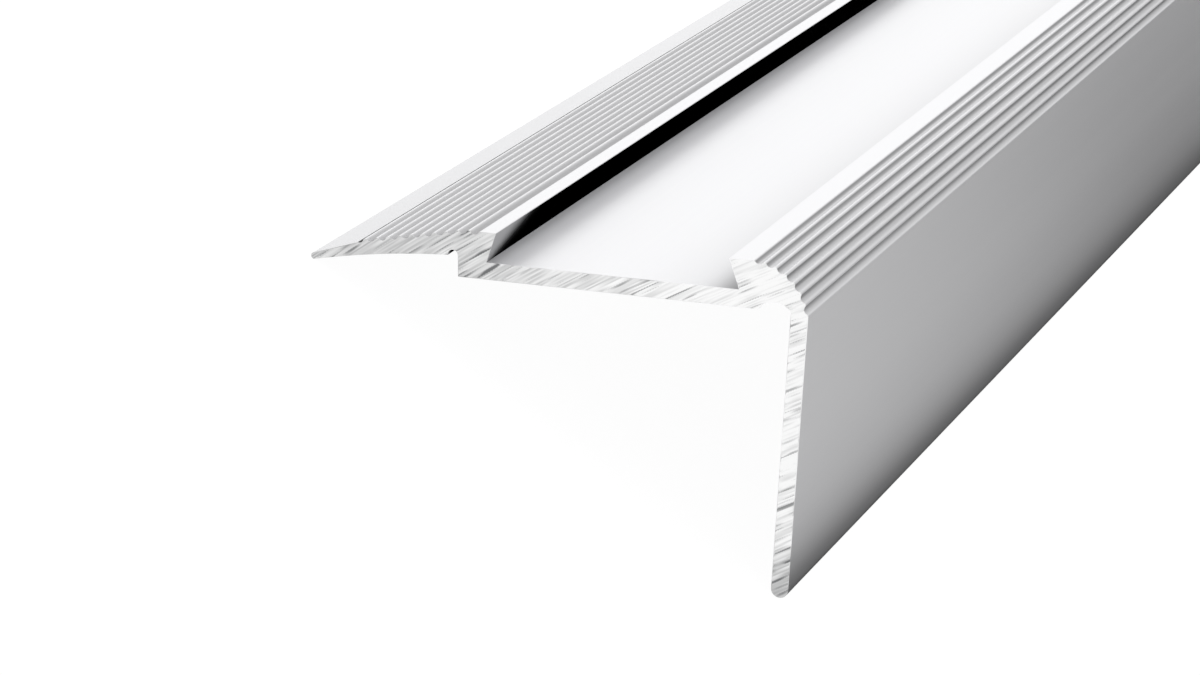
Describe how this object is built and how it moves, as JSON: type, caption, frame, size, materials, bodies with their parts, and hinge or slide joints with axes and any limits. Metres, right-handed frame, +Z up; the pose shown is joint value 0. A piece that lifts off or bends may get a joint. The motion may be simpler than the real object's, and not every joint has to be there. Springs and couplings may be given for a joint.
{
  "type": "stair nosing profile",
  "caption": "Extruded aluminium stair nosing bar with a ribbed ramp flange, a dovetail recess for an insert strip, a ribbed round nose and a riser leg.",
  "frame": {"origin": "on the floor, under the middle of the bar, half-way between the flange tip's and the leg end's outer sides", "axes": "+Y along the bar, away from the sawn end that the picture shows; +Z up with the bar lying unheld on its flange tip and leg end; +X from the flange towards the nose and leg"},
  "size_m": [0.0592, 1, 0.0289],
  "materials": {
    "anodised_aluminium": "satin silver anodised, with bare sawn ends"
  },
  "bodies": {
    "root": {"nosing_profile": "anodised_aluminium"}
  },
  "joints": []
}
